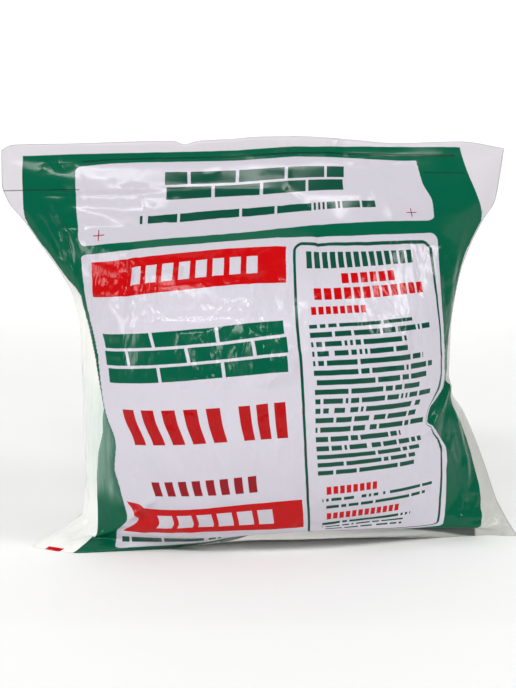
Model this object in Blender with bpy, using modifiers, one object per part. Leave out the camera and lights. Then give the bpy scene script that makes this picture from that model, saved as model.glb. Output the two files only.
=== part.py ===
"""Cement sack: a pillow pouch of polyethylene film, filled with cement powder and standing upright.

The film is one piece: a lay-flat tube, welded across the bottom and gathered flat into a header at the mouth.
The powder swells the tube into a cushion, so its side folds pull in at the waist and run out again to the two
ends of the bottom weld, which lie on the floor as pointed ears, near the front of the base.

Frame: metres, +Z up, -Y the printed front, origin on the floor under the middle of the bounding box.
"""

from typing import NamedTuple

import bpy
import numpy as np

# The film
FILM_THICKNESS = 0.00015
SHEETS_APART = 0.0010  # between the outer faces of the two sheets, where they lie flat together
MOUTH_HEIGHT = 0.2330  # top of the header at its two corners
MOUTH_ARCH = 0.0080  # how much higher the header's top edge is at its middle
SECTION_POWER = 2.6  # how boxy a horizontal section is

# The powder
POWDER_TOP = 0.1770
POWDER_BOTTOM = 0.0012
POWDER_SIDE_SHARE = 0.92  # share of the section's width that the powder reaches
POWDER_INSET = 0.0016  # from the film's outer face, front and back

# Mesh density
COLUMNS = 24  # across one sheet
ROW_HEIGHTS = (
    *(0.0, 0.002, 0.005, 0.009, 0.014, 0.020, 0.030, 0.044, 0.062, 0.080, 0.100, 0.120),
    *(0.137, 0.152, 0.166, 0.178, 0.190, 0.201, 0.213, 0.223, MOUTH_HEIGHT),
)
POWDER_ROW_HEIGHTS = (
    *(POWDER_BOTTOM, 0.004, 0.008, 0.014, 0.022, 0.036, 0.054, 0.076, 0.100, 0.122),
    *(0.140, 0.156, 0.168, POWDER_TOP),
)


class Station(NamedTuple):
    """The horizontal section at one height, measured from the side folds' own line.

    That line runs `forward` of the header's plane, and turns so that its left end stands nearer the front. A
    sharpness of 0.5 is a round end, and over 1 a drawn-out web.
    """

    height: float
    left_reach: float
    right_reach: float
    forward: float
    turn: float
    front_depth: float
    back_depth: float
    left_sharpness: float
    right_sharpness: float


STATIONS = (
    Station(0.000, 0.1375, 0.1550, 0.018, 0.055, 0.0060, 0.0590, 1.60, 1.40),
    Station(0.005, 0.1285, 0.1515, 0.016, 0.065, 0.0210, 0.0640, 1.30, 1.30),
    Station(0.012, 0.1150, 0.1475, 0.012, 0.078, 0.0350, 0.0675, 0.90, 1.20),
    Station(0.018, 0.1085, 0.1445, 0.009, 0.090, 0.0420, 0.0680, 0.70, 1.15),
    Station(0.041, 0.1075, 0.1370, 0.002, 0.088, 0.0580, 0.0645, 0.62, 1.05),
    Station(0.073, 0.1080, 0.1235, 0.000, 0.078, 0.0630, 0.0630, 0.58, 0.80),
    Station(0.091, 0.1084, 0.1130, 0.000, 0.072, 0.0625, 0.0625, 0.58, 0.62),
    Station(0.127, 0.1095, 0.1145, 0.000, 0.057, 0.0560, 0.0565, 0.60, 0.62),
    Station(0.147, 0.1150, 0.1175, 0.000, 0.047, 0.0475, 0.0480, 0.70, 0.75),
    Station(0.161, 0.1228, 0.1205, 0.000, 0.038, 0.0385, 0.0385, 0.90, 0.95),
    Station(0.175, 0.1325, 0.1250, 0.000, 0.028, 0.0270, 0.0270, 1.10, 1.15),
    Station(0.191, 0.1432, 0.1315, 0.000, 0.000, 0.0120, 0.0120, 1.30, 1.30),
    Station(0.203, 0.1520, 0.1380, 0.000, 0.000, 0.0040, 0.0040, 1.30, 1.30),
    Station(0.213, 0.1550, 0.1395, 0.000, 0.000, 0.0012, 0.0012, 1.30, 1.30),
    Station(0.241, 0.1543, 0.1425, 0.000, 0.000, 0.0000, 0.0000, 1.30, 1.30),
)


def smooth_between(heights, knots, values):
    """A monotone cubic through the knots: it bends smoothly and never overshoots a station."""
    knots, values = np.asarray(knots), np.asarray(values)
    spans = np.diff(knots)
    slopes = np.diff(values) / spans
    tangents = np.zeros_like(values)
    same_way = slopes[:-1] * slopes[1:] > 0
    weighed = 3 * (spans[:-1] + spans[1:]) / (
        (2 * spans[1:] + spans[:-1]) / np.where(same_way, slopes[:-1], 1)
        + (spans[1:] + 2 * spans[:-1]) / np.where(same_way, slopes[1:], 1)
    )
    tangents[1:-1] = np.where(same_way, weighed, 0)
    tangents[0], tangents[-1] = slopes[0], slopes[-1]
    span = np.clip(np.searchsorted(knots, heights, side="right") - 1, 0, len(spans) - 1)
    share = (heights - knots[span]) / spans[span]
    return (
        values[span] * (1 + 2 * share) * (1 - share) ** 2
        + tangents[span] * spans[span] * share * (1 - share) ** 2
        + values[span + 1] * share**2 * (3 - 2 * share)
        + tangents[span + 1] * spans[span] * share**2 * (share - 1)
    )


def sections_at(heights):
    """The stations' measures, smoothly interpolated at these heights, one column each."""
    knots = [station.height for station in STATIONS]
    columns = list(zip(*STATIONS))[1:]
    return [smooth_between(np.asarray(heights), knots, column)[:, None] for column in columns]


def sheet_rows(heights, side_share, inset, edge_gap):
    """Points of the front and back sheets, each as rows of (x, y, z) from the left fold to the right one.

    A sheet stands off the fold line by depth * (1 - |t|^power)^sharpness at a share t of the reach, so a section
    runs from a rounded box to a lens with drawn-out webs.
    """
    left, right, forward, turn, front_depth, back_depth, left_sharp, right_sharp = sections_at(heights)
    across = np.sin(np.linspace(-np.pi / 2, np.pi / 2, COLUMNS + 1))[None, :]
    x = across * np.where(across < 0, left, right) * side_share
    z = np.asarray(heights)[:, None] + 0 * x
    fold_line = turn * x - forward
    taper = (1 - np.abs(across) ** SECTION_POWER) ** np.where(across < 0, left_sharp, right_sharp)
    front = fold_line - np.maximum(front_depth - inset, 0) * taper - edge_gap / 2
    back = fold_line + np.maximum(back_depth - inset, 0) * taper + edge_gap / 2
    return np.stack([x, front, z], axis=2), np.stack([x, back, z], axis=2)


def tube_faces(rows, around):
    """Quads that join each ring of points to the one above it, facing out."""
    lower = np.arange(rows - 1)[:, None] * around + np.arange(around)[None, :]
    beside = np.arange(rows - 1)[:, None] * around + (np.arange(around)[None, :] + 1) % around
    return np.stack([lower, beside, beside + around, lower + around], axis=2).reshape(-1, 4)


def cap_faces(first, upwards):
    """Quads across one ring, from its front sheet to its back sheet."""
    front = first + np.arange(COLUMNS)
    back = first + 2 * (COLUMNS + 1) - 1 - np.arange(COLUMNS)
    quads = np.stack([front, front + 1, back - 1, back], axis=1)
    return quads if upwards else quads[:, ::-1]


def mesh_object(name, points, faces, material, collection):
    """A mesh object with one material, shaded smooth but for its sharp edges."""
    mesh = bpy.data.meshes.new(name)
    mesh.from_pydata(points.tolist(), [], [face for part in faces for face in part.tolist()])
    mesh.validate()
    mesh.shade_smooth()
    mesh.set_sharp_from_angle(angle=np.radians(50))
    mesh.materials.append(material)
    made = bpy.data.objects.new(name, mesh)
    collection.objects.link(made)
    return made


def principled(name, colour, roughness, specular):
    """A Principled BSDF in one colour, given as linear red, green and blue."""
    material = bpy.data.materials.new(name)
    material.use_nodes = True
    shader = material.node_tree.nodes["Principled BSDF"]
    shader.inputs["Base Color"].default_value = (*colour, 1)
    shader.inputs["Roughness"].default_value = roughness
    shader.inputs["Metallic"].default_value = 0
    shader.inputs["Specular IOR Level"].default_value = specular
    return material


def build_film_sack(collection):
    """The film: an open-mouthed tube closed at the floor, given its wall by Solidify."""
    front, back = sheet_rows(ROW_HEIGHTS, 1.0, 0.0, SHEETS_APART)
    mouth = front[-1, :, 0] / np.abs(front[-1, :, 0]).max()
    front[-1, :, 2] += MOUTH_ARCH * (1 - mouth**2)
    back[-1, :, 2] = front[-1, :, 2]
    rings = np.concatenate([front, back[:, ::-1]], axis=1)
    rows, around = rings.shape[:2]
    sack = mesh_object(
        "film_sack",
        rings.reshape(-1, 3),
        [tube_faces(rows, around), cap_faces(0, upwards=False)],
        principled("printed_polyethylene_film", (0.66, 0.64, 0.69), 0.28, 0.5),
        collection,
    )
    wall = sack.modifiers.new("film_wall", "SOLIDIFY")
    wall.thickness = FILM_THICKNESS
    wall.offset = -1


def build_cement_fill(collection):
    """The powder: the space inside the film up to where the header starts, clear of the wall all round."""
    front, back = sheet_rows(POWDER_ROW_HEIGHTS, POWDER_SIDE_SHARE, POWDER_INSET, SHEETS_APART)
    rings = np.concatenate([front, back[:, ::-1]], axis=1)
    rows, around = rings.shape[:2]
    mesh_object(
        "cement_fill",
        rings.reshape(-1, 3),
        [
            tube_faces(rows, around),
            cap_faces(0, upwards=False),
            cap_faces((rows - 1) * around, upwards=True),
        ],
        principled("grey_cement_powder", (0.27, 0.27, 0.26), 0.95, 0.2),
        collection,
    )


def main():
    for old in list(bpy.data.objects):
        bpy.data.objects.remove(old)
    collection = bpy.data.collections.new("cement_sack")
    bpy.context.scene.collection.children.link(collection)
    build_film_sack(collection)
    build_cement_fill(collection)


if __name__ == "__main__":
    main()
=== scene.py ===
"""A small retail cement sack: printed polyethylene film round its powder, on a studio sweep.

The film is one closed surface, worked out as a front and a back grid that share their side folds. Its
outline follows horizontal sections measured at fifteen heights; creases, folds and soft dents are then laid
on it along its own normals. A map called `print` gives every point of the film its place on the flat print,
in millimetres, and the ink is drawn from that map.

Frame: metres, +Z up, -Y the printed front, origin on the floor under the middle of the sack.
"""

import logging
import math
from dataclasses import dataclass
from enum import Enum
from typing import Any, NamedTuple, Sequence

import bpy
import numpy as np
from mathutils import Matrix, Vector


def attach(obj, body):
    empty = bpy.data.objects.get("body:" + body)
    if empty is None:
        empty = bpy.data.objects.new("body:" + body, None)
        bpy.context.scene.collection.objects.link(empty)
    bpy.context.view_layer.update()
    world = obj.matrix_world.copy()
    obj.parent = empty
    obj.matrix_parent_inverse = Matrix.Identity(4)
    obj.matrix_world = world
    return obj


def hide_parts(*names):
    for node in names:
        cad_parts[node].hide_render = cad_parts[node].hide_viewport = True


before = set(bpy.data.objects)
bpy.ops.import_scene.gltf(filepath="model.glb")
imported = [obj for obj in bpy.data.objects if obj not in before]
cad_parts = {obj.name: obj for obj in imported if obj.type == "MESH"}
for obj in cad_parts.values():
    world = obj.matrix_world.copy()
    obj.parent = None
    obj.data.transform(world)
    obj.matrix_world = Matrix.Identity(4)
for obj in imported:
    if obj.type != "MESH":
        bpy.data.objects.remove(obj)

Array = np.ndarray
Socket = bpy.types.NodeSocket

MM = 0.001
PRINT_MAP = "print"
log = logging.getLogger("cement_sack")


# Small helpers


def linear(code: str) -> tuple[float, float, float, float]:
    """Turns an sRGB hex colour into linear light.

    Args:
        code: six hex digits, with or without the hash sign.

    Returns:
        Red, green, blue and a full alpha.
    """
    digits = code.lstrip("#")
    parts = [int(digits[i : i + 2], 16) / 255 for i in (0, 2, 4)]
    light = [c / 12.92 if c <= 0.04045 else ((c + 0.055) / 1.055) ** 2.4 for c in parts]
    return (*light, 1.0)


def smooth_between(at: Array, knots: Sequence[float], values: Sequence[float]) -> Array:
    """A monotone cubic through the knots, held level beyond both ends.

    Args:
        at: where to read it.
        knots: rising positions.
        values: what it passes through at each.

    Returns:
        The cubic's values, shaped like `at`.
    """
    knots, values = np.asarray(knots, float), np.asarray(values, float)
    at = np.clip(at, knots[0], knots[-1])
    if len(knots) == 2:
        return values[0] + (at - knots[0]) / (knots[1] - knots[0]) * (values[1] - values[0])
    spans = np.diff(knots)
    slopes = np.diff(values) / spans
    tangents = np.zeros_like(values)
    same_way = slopes[:-1] * slopes[1:] > 0
    weighed = 3 * (spans[:-1] + spans[1:]) / (
        (2 * spans[1:] + spans[:-1]) / np.where(same_way, slopes[:-1], 1)
        + (spans[1:] + 2 * spans[:-1]) / np.where(same_way, slopes[1:], 1)
    )
    tangents[1:-1] = np.where(same_way, weighed, 0)
    tangents[0], tangents[-1] = slopes[0], slopes[-1]
    i = np.clip(np.searchsorted(knots, at, side="right") - 1, 0, len(spans) - 1)
    t = (at - knots[i]) / spans[i]
    return (
        values[i] * (1 + 2 * t) * (1 - t) ** 2
        + tangents[i] * spans[i] * t * (1 - t) ** 2
        + values[i + 1] * t**2 * (3 - 2 * t)
        + tangents[i + 1] * spans[i] * t**2 * (t - 1)
    )


def eased(value: Array, low: float, high: float) -> Array:
    """0 below low, 1 above high, and an S-curve between them."""
    t = np.clip((value - low) / (high - low), 0, 1)
    return t * t * (3 - 2 * t)


# The sack's form


class Side(Enum):
    """The two sheets of the lay-flat tube."""

    FRONT = -1
    BACK = 1


class Station(NamedTuple):
    """A horizontal section at one height, in millimetres.

    The side folds' own line runs `forward` of the header's plane and turns by `turn`, so that its left end
    stands nearer the front. A sharpness of 0.5 is a round end, and over 1 a drawn-out web.
    """

    height: float
    left: float
    right: float
    forward: float
    turn: float
    front: float
    back: float
    left_sharpness: float
    right_sharpness: float


STATIONS = (
    Station(0, 137.5, 155.0, 18, 0.055, 6.0, 59.0, 1.60, 1.40),
    Station(5, 128.5, 151.5, 16, 0.065, 21.0, 64.0, 1.30, 1.30),
    Station(12, 115.0, 147.5, 12, 0.078, 35.0, 67.5, 0.90, 1.20),
    Station(18, 108.5, 144.5, 9, 0.090, 42.0, 68.0, 0.70, 1.15),
    Station(41, 107.5, 137.0, 2, 0.088, 58.0, 64.5, 0.62, 1.05),
    Station(73, 108.0, 123.5, 0, 0.078, 63.0, 63.0, 0.58, 0.80),
    Station(91, 108.4, 113.0, 0, 0.072, 62.5, 62.5, 0.58, 0.62),
    Station(127, 109.5, 114.5, 0, 0.057, 56.0, 56.5, 0.60, 0.62),
    Station(147, 115.0, 117.5, 0, 0.047, 47.5, 48.0, 0.70, 0.75),
    Station(161, 122.8, 120.5, 0, 0.038, 38.5, 38.5, 0.90, 0.95),
    Station(175, 132.5, 125.0, 0, 0.028, 27.0, 27.0, 1.10, 1.15),
    Station(191, 143.2, 131.5, 0, 0.000, 12.0, 12.0, 1.30, 1.30),
    Station(203, 152.0, 138.0, 0, 0.000, 4.0, 4.0, 1.30, 1.30),
    Station(213, 155.0, 139.5, 0, 0.000, 1.2, 1.2, 1.30, 1.30),
    Station(241, 154.3, 142.5, 0, 0.000, 0.0, 0.0, 1.30, 1.30),
)


class Form:
    """The filled sack's outer form, before any crease."""

    section_power = 2.6  # how boxy a section is
    sheets_apart = 0.8  # between the two sheets where they lie flat, mm
    corner_height = 233.0  # the mouth's edge at its corners, mm
    mouth_edge = (  # the mouth's wavy cut edge: (x, height), mm
        *((-155, 232.4), (-149, 235.6), (-147, 235.9), (-112, 236.6), (-53, 238.2), (-47, 236.2)),
        *((-38, 238.2), (-19, 239.2), (-2, 240.6), (22, 240.8), (50, 239.0), (79, 236.8), (115, 237.8)),
        *((146, 232.9),),
    )
    mouth_reach = 200.0  # the height above which the rows follow that edge, mm
    foot_line = (  # how far the foot's edge stands back of its section: (x, mm)
        *((-137, -6), (-110, -17), (-90, -14), (-70, -10), (-45, -4), (-19, 5), (0, 16), (20, 18), (40, 15)),
        *((80, 4), (110, 3), (134, 4), (155, 0)),
    )
    foot_height = 7.0  # over which that dies away, mm
    least_depth = 0.05  # that a drawn-in section keeps, mm
    seam_power = 8  # how late the sheets close up towards their folds
    trial_steps = 900  # along a section, to space its points evenly
    trial_rows = 1200  # up the front's middle, to space the rows evenly

    def measures(self, heights: Array, inset: float = 0.0) -> list[Array]:
        """The stations' measures at these heights.

        Args:
            heights: where to read them, mm.
            inset: how far the two depths are drawn in, mm.

        Returns:
            A column each of the left and right reach, forward, turn, the depths and the sharpnesses.
        """
        knots = [s.height for s in STATIONS]
        found = [smooth_between(heights, knots, column)[:, None] for column in list(zip(*STATIONS))[1:]]
        found[4:6] = [np.maximum(depth - inset, self.least_depth) for depth in found[4:6]]
        return found

    def depth(self, across: Array, measures: list[Array], side: Side) -> Array:
        """How far a sheet stands off the fold line.

        It is depth * (1 - |across|^power)^sharpness, so a section runs from a rounded box to a lens with
        webs.

        Args:
            across: shares of the reach, from -1 at the left fold to 1 at the right one.
            measures: the rows' measures.
            side: front or back sheet.

        Returns:
            The distances, mm.
        """
        front, back, left_sharp, right_sharp = measures[4:]
        most = front if side is Side.FRONT else back
        sharpness = np.where(across < 0, left_sharp, right_sharp)
        return most * (1 - np.abs(across) ** self.section_power) ** sharpness

    def sheet(
        self, heights: Array, side: Side, columns: int, share: float = 1.0, inset: float = 0.0
    ) -> Array:
        """Rows of points, evenly spaced along each section from the left fold to the right one.

        Args:
            heights: the rows' heights, mm.
            side: front or back sheet.
            columns: how many spans a row has.
            share: how much of the reach it uses.
            inset: how far it lies inside the film, mm.

        Returns:
            (rows, columns + 1, 3) points in mm.
        """
        measures = self.measures(heights, inset)
        left, right, forward, turn = measures[:4]
        trial = np.sin(np.linspace(-np.pi / 2, np.pi / 2, self.trial_steps + 1))[None, :]
        reach = np.where(trial < 0, left, right)
        steps = np.hypot(np.diff(trial * reach), np.diff(self.depth(trial, measures, side)))
        lengths = np.concatenate([np.zeros((len(heights), 1)), np.cumsum(steps, axis=1)], axis=1)
        even = np.linspace(0, 1, columns + 1)
        across = np.array([np.interp(even * row[-1], row, trial[0]) for row in lengths])
        x = across * np.where(across < 0, left, right) * share
        off = self.depth(across, measures, side) + self.sheets_apart / 2 * (1 - across**self.seam_power)
        y = turn * x - forward + side.value * off
        z = heights[:, None] + 0 * x
        if side is Side.FRONT:
            y = y + smooth_between(x, *zip(*self.foot_line)) * eased(-z, -self.foot_height, 0.0)
        edge = smooth_between(x, *zip(*self.mouth_edge)) - self.corner_height
        z = z + edge * eased(z, self.mouth_reach, self.corner_height)
        return np.stack([x, y, z], axis=2)

    def even_heights(self, rows: int, low: float, high: float) -> Array:
        """Row heights, evenly spaced along the front sheet's middle.

        Args:
            rows: how many spans there are.
            low, high: the lowest and highest row, mm.

        Returns:
            rows + 1 heights, mm.
        """
        trial = np.linspace(low, high, self.trial_rows + 1)
        forward, front = (self.measures(trial)[i][:, 0] for i in (2, 4))
        lengths = np.concatenate([[0], np.cumsum(np.hypot(np.diff(trial), np.diff(forward + front)))])
        return np.interp(np.linspace(0, lengths[-1], rows + 1), lengths, trial)


# What is laid on the form


class Profile(Enum):
    """How a crease's cross-section goes."""

    RIDGE = 0
    STEP = 1


@dataclass(frozen=True)
class Crease:
    """A line in the film, drawn over one sheet as (x, z) in mm.

    A ridge stands up on both sides of its line. A step stands up along the left of its line's direction only,
    and falls off to nothing at its right.
    """

    path: tuple[tuple[float, float], ...]
    height: float
    width: float
    profile: Profile = Profile.RIDGE
    lip: float = 0.7  # half the width that a step rises over, mm
    end_share: float = 0.22  # of its length, over which each end dies away
    ridge_power: float = 1.3  # below 2 for a sharp top

    def lift(self, x: Array, z: Array) -> Array:
        """The crease's height over its nearest point, faded out at both ends.

        A ridge is exp(-(distance / width)^power). A step is an S-curve over its lip, times
        exp(-distance / width) beyond it.

        Args:
            x, z: the film's points, mm.

        Returns:
            How far each is raised, mm.
        """
        points = np.asarray(self.path, float)
        nearest = np.full(x.shape, 1e9)
        signed = np.zeros(x.shape)
        along = np.zeros(x.shape)
        lengths = np.hypot(*np.diff(points, axis=0).T)
        start = np.concatenate([[0], np.cumsum(lengths)])
        for i, length in enumerate(lengths):
            way = (points[i + 1] - points[i]) / length
            dx, dz = x - points[i, 0], z - points[i, 1]
            t = np.clip(dx * way[0] + dz * way[1], 0, length)
            apart = np.hypot(dx - t * way[0], dz - t * way[1])
            closer = apart < nearest
            nearest = np.where(closer, apart, nearest)
            turned = way[0] * dz - way[1] * dx
            signed = np.where(closer, np.where(turned < 0, -apart, apart), signed)
            along = np.where(closer, start[i] + t, along)
        share = along / start[-1]
        ends = eased(share, 0, self.end_share) * eased(1 - share, 0, self.end_share)
        if self.profile is Profile.RIDGE:
            shape = np.exp(-np.abs(signed / self.width) ** self.ridge_power)
        else:
            shape = eased(signed, -self.lip, self.lip) * np.exp(-np.maximum(signed, 0) / self.width)
        return self.height * ends * shape


@dataclass(frozen=True)
class Swell:
    """A soft bulge, or a dent where `height` is below nought: an oval bell, turned by `turn` degrees."""

    x: float
    z: float
    wide: float
    tall: float
    height: float
    turn: float = 0.0

    def lift(self, x: Array, z: Array) -> Array:
        """The bell's height: height * exp(-(along / wide)^2 - (across / tall)^2).

        Args:
            x, z: the film's points, mm.

        Returns:
            How far each is raised, mm.
        """
        c, s = math.cos(math.radians(self.turn)), math.sin(math.radians(self.turn))
        u, v = (x - self.x) * c + (z - self.z) * s, (z - self.z) * c - (x - self.x) * s
        return self.height * np.exp(-((u / self.wide) ** 2) - (v / self.tall) ** 2)


FRONT_RELIEF: tuple[Crease | Swell, ...] = (
    # the left side pleat: the front panel's edge laps over the tucked-in film
    Crease(((-84, 8), (-79, 21), (-81, 30), (-87, 50), (-85.6, 66), (-92.3, 84)), -1.6, 5, Profile.STEP),
    Crease(
        ((-90, 74), (-93, 86), (-99, 115), (-104.5, 135), (-108, 148), (-121, 166)),
        *(-3.4, 7, Profile.STEP, 0.5),
    ),
    # the right side fold, and the film that runs out of it to the ear
    Crease(((113, 99), (107, 88), (98, 76), (91, 67)), 3.2, 8, Profile.STEP, 0.6),
    Crease(((95, 76), (101, 66), (107, 55), (109, 42)), 1.4, 5, Profile.STEP),
    Crease(((110, 84), (117, 66), (122, 48), (124, 30)), 1.8, 2.0),
    Crease(((114, 70), (119, 56), (121, 44)), -1.4, 1.4),
    Crease(((104, 62), (112, 54), (117, 44)), 0.9, 1.3),
    # the header's foot
    Crease(((-143, 207), (-120, 206.5), (-96, 207), (-70, 207.5), (-52, 208)), -0.7, 1.4),
    Crease(((-70, 207.5), (-30, 209), (10, 210)), -0.3, 1.2),
    Swell(70, 203, 45, 14, 5.0, -4),
    Swell(-20, 200, 30, 10, 1.2),
    Swell(-75, 215, 28, 12, 0.3, 10),
    Swell(-120, 224, 16, 14, -0.6, 20),
    Swell(10, 224, 26, 12, -0.8, -15),
    Swell(100, 226, 22, 12, 1.1, 10),
    # the broad slack over the belly
    Swell(-35, 143, 16, 9, -0.8, -25),
    Swell(-12, 128, 10, 12, 0.7, 30),
    Swell(-50, 120, 12, 8, 0.6, 20),
    Swell(8, 150, 9, 14, -0.8, 10),
    Swell(62, 140, 12, 16, -0.9, -20),
    Swell(80, 120, 9, 13, 0.7, 15),
    Swell(45, 112, 12, 8, -0.5, 30),
    Swell(-78, 160, 3.0, 14, -1.3, 4),
    Crease(((-81, 174), (-79, 162), (-80, 148), (-82, 138)), -0.8, 1.3),
    Crease(((-74, 176), (-73, 164), (-75, 154)), 0.5, 1.2),
    Crease(((-30, 176), (-27, 162), (-29, 152)), 0.5, 1.6),
    Crease(((-12, 178), (-8, 166), (-9, 154)), -0.5, 1.4),
    Crease(((12, 172), (17, 160), (15, 148)), 0.6, 1.5),
    Crease(((60, 176), (63, 160), (61, 146)), 0.4, 2.0),
    Crease(((88, 178), (92, 162), (90, 146)), -0.5, 2.0),
    # long folds down both shoulders, beside the side folds
    Crease(((-128, 204), (-120, 188), (-113, 168), (-109, 152)), 1.3, 1.4),
    Crease(((-133, 196), (-125, 182), (-118, 168)), -1.1, 1.2),
    Crease(((-122, 196), (-115, 180), (-111, 160)), -1.0, 1.1),
    Crease(((-104, 176), (-102, 160), (-101, 140)), -0.5, 1.4),
    Crease(((120, 196), (116, 178), (112, 158), (111, 140)), 0.7, 1.6),
    Crease(((126, 190), (119, 172), (115, 152)), -0.7, 1.4),
    Crease(((106, 180), (107, 160), (108, 138)), -0.5, 1.6),
    Crease(((103, 60), (106, 72), (109, 88), (111, 104)), -1.0, 1.8),
    # the foot: the powder's underside overhangs the unprinted fin of film below it
    Crease(((-34, 6.5), (-10, 9.0), (20, 10.6), (60, 9.6), (93, 7.0), (125, 4.2), (145, 3.0)), -5.0, 2.0),
    Crease(((-118, 1.5), (-104, 5), (-91, 11.5), (-78, 19.5)), 1.8, 1.5),
    Crease(((-130, 3), (-118, 7), (-108, 14)), 1.3, 1.5),
    Crease(((-118, 3), (-108, 9), (-102, 20)), -1.2, 1.5),
    Crease(((128, 4), (137, 9), (141, 18)), -1.2, 1.5),
    Crease(((30, 184), (31.5, 181), (31, 177)), -1.0, 1.0),
    # the creased corner by the ribbon
    Crease(((-82, 18), (-74, 25), (-66, 33), (-60, 38)), 2.0, 1.7),
    Crease(((-78, 31), (-72, 27), (-65, 20)), -1.4, 1.5),
    Crease(((-72, 55), (-76, 45), (-77, 36)), 0.4, 1.4),
)


BACK_RELIEF: tuple[Crease | Swell, ...] = (
    # soft folds down both shoulders
    Crease(((-124, 204), (-116, 186), (-110, 164), (-107, 146)), 1.4, 1.8),
    Crease(((-112, 198), (-106, 178), (-104, 152)), -1.2, 1.6),
    Crease(((-92, 194), (-93, 176), (-91, 158)), 0.8, 1.6),
    Crease(((118, 200), (110, 180), (107, 156), (106, 136)), 1.4, 1.8),
    Crease(((100, 196), (99, 178), (98, 154)), -1.0, 1.6),
    Crease(((78, 194), (80, 178), (77, 162)), 0.7, 1.5),
    # the header's foot, and the slack below it
    Crease(((-128, 205), (-80, 207), (-30, 206), (20, 208), (80, 206), (118, 207)), -0.8, 1.6),
    Swell(-58, 184, 22, 12, 2.0, 12),
    Swell(-10, 178, 20, 14, -1.8, -8),
    Swell(36, 186, 24, 11, 2.2, -10),
    Swell(-36, 150, 18, 12, -1.0, 25),
    Swell(54, 140, 16, 14, -1.1, -20),
    Swell(10, 118, 22, 10, 0.8, 10),
    # the waist's dents
    Crease(((-104, 104), (-92, 96), (-78, 92)), -1.6, 2.4),
    Crease(((-106, 82), (-94, 86), (-84, 94)), 1.2, 2.0),
    Crease(((106, 96), (94, 88), (82, 86)), -1.6, 2.4),
    Crease(((112, 70), (100, 76), (90, 84)), 1.2, 2.0),
    # the folds that run out of the foot to the ears
    Crease(((-122, 6), (-108, 16), (-96, 30)), 1.4, 2.0),
    Crease(((138, 5), (122, 18), (108, 34)), 1.6, 2.0),
    Crease(((122, 6), (108, 14), (94, 26)), -1.2, 1.8),
)


class Jitter:
    """Short, shallow creases scattered over the film, the same on every run."""

    lean_spread = 28  # degrees
    bend_spread = 0.35  # radians
    length_range = (0.5, 1.5)  # shares of the mean
    height_range = (0.3, 1.0)  # shares of the tallest
    width_range = (0.9, 2.4)  # mm

    def __init__(self, seed: int) -> None:
        """Args: seed: picks the pattern."""
        self.random = np.random.default_rng(seed)

    def creases(
        self, count: int, spread: tuple[float, float, float, float], lean: float, length: float, height: float
    ) -> list[Crease]:
        """Bent three-point creases.

        Args:
            count: how many.
            spread: the box they start in, as left, right, low and high, mm.
            lean: their mean direction, degrees from level.
            length: their mean length, mm.
            height: their tallest lift, mm.

        Returns:
            The creases.
        """
        made = []
        for _ in range(count):
            x, z = self.random.uniform(*spread[:2]), self.random.uniform(*spread[2:])
            angle = math.radians(lean + self.random.normal(0, self.lean_spread))
            bend = self.random.normal(0, self.bend_spread)
            reach = length * self.random.uniform(*self.length_range) / 2
            middle = (x + reach * math.cos(angle), z + reach * math.sin(angle))
            end = (middle[0] + reach * math.cos(angle + bend), middle[1] + reach * math.sin(angle + bend))
            lift = height * self.random.uniform(*self.height_range) * self.random.choice([-1, 1])
            made.append(Crease(((x, z), middle, end), lift, self.random.uniform(*self.width_range)))
        return made


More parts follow.
